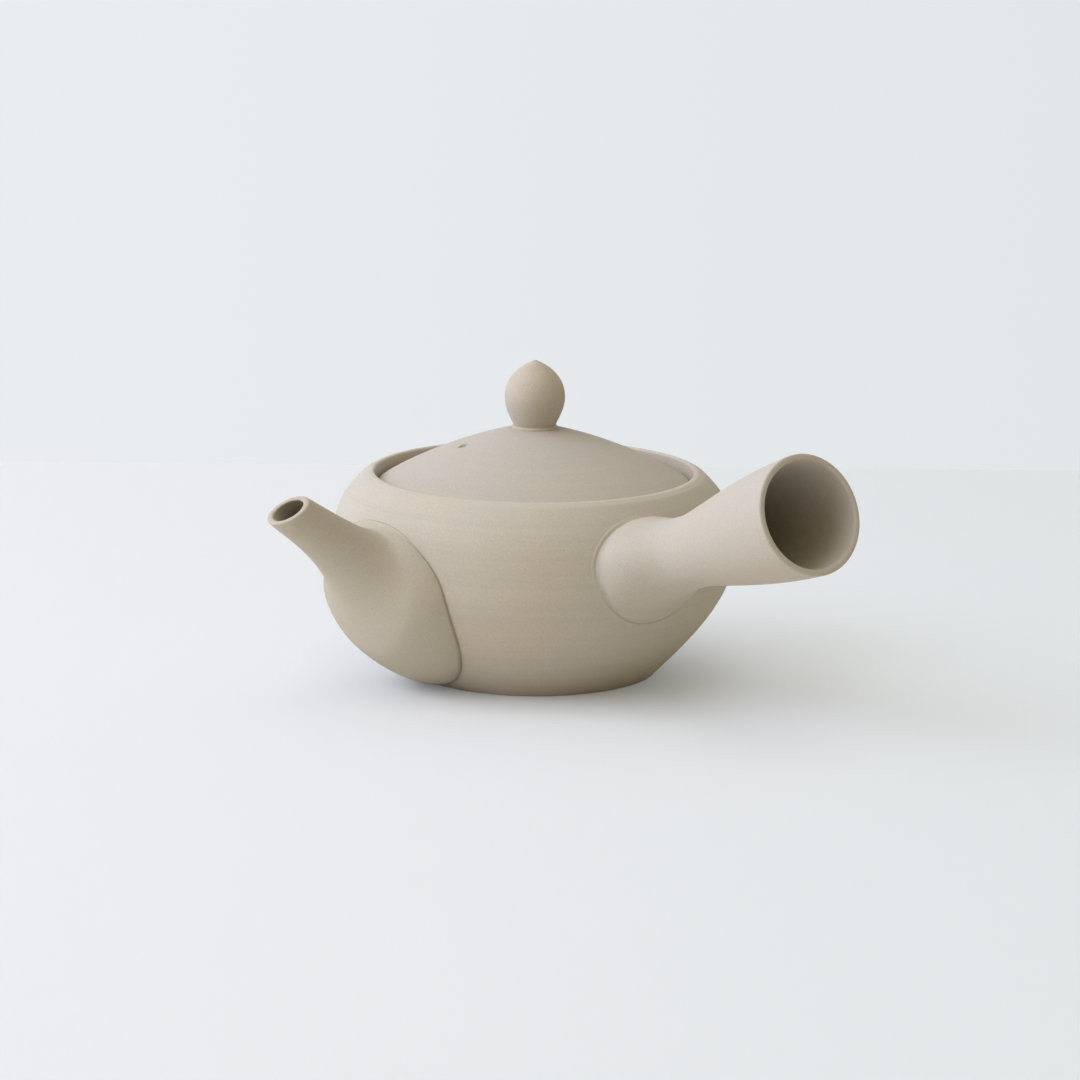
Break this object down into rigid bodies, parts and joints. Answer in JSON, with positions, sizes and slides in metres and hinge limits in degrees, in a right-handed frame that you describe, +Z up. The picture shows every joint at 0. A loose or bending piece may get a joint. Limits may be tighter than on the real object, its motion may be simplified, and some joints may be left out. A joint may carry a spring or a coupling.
{
  "type": "teapot",
  "caption": "Side-handled clay teapot: round bowl, belled spout with a pierced strainer behind it, hollow flared handle, and a loose domed lid with a bud-shaped knob.",
  "frame": {"origin": "on the pot's axis, in the plane of its flat base, where it meets the table", "axes": "+Z up along the pot's axis; the handle points toward -Y and the spout lies close to -X, about 85 degrees from it"},
  "size_m": [0.1445, 0.1824, 0.087],
  "materials": {
    "pot_clay": "matt unglazed clay, faint throwing lines and fine speckle",
    "spout_clay": "matt unglazed clay, smoothed by hand",
    "handle_clay": "matt unglazed clay, faint throwing lines",
    "lid_clay": "matt unglazed clay, faint throwing lines",
    "knob_clay": "matt unglazed clay, a little browner from handling",
    "strainer_clay": "matt unglazed clay, pierced",
    "joining_slip": "matt fired slip"
  },
  "bodies": {
    "pot": {"pot_body": "pot_clay", "strainer": "strainer_clay", "strainer_slip_seam": "joining_slip", "spout": "spout_clay", "spout_slip_seam": "joining_slip", "handle": "handle_clay", "handle_slip_seam": "joining_slip"},
    "lid": {"lid": "lid_clay", "knob": "knob_clay", "knob_slip_collar": "joining_slip"}
  },
  "joints": [
    {"name": "lid_lift", "type": "slide", "parent": "pot", "child": "lid", "axis": [0, 0, 1], "range_m": [0, 0.06]}
  ]
}
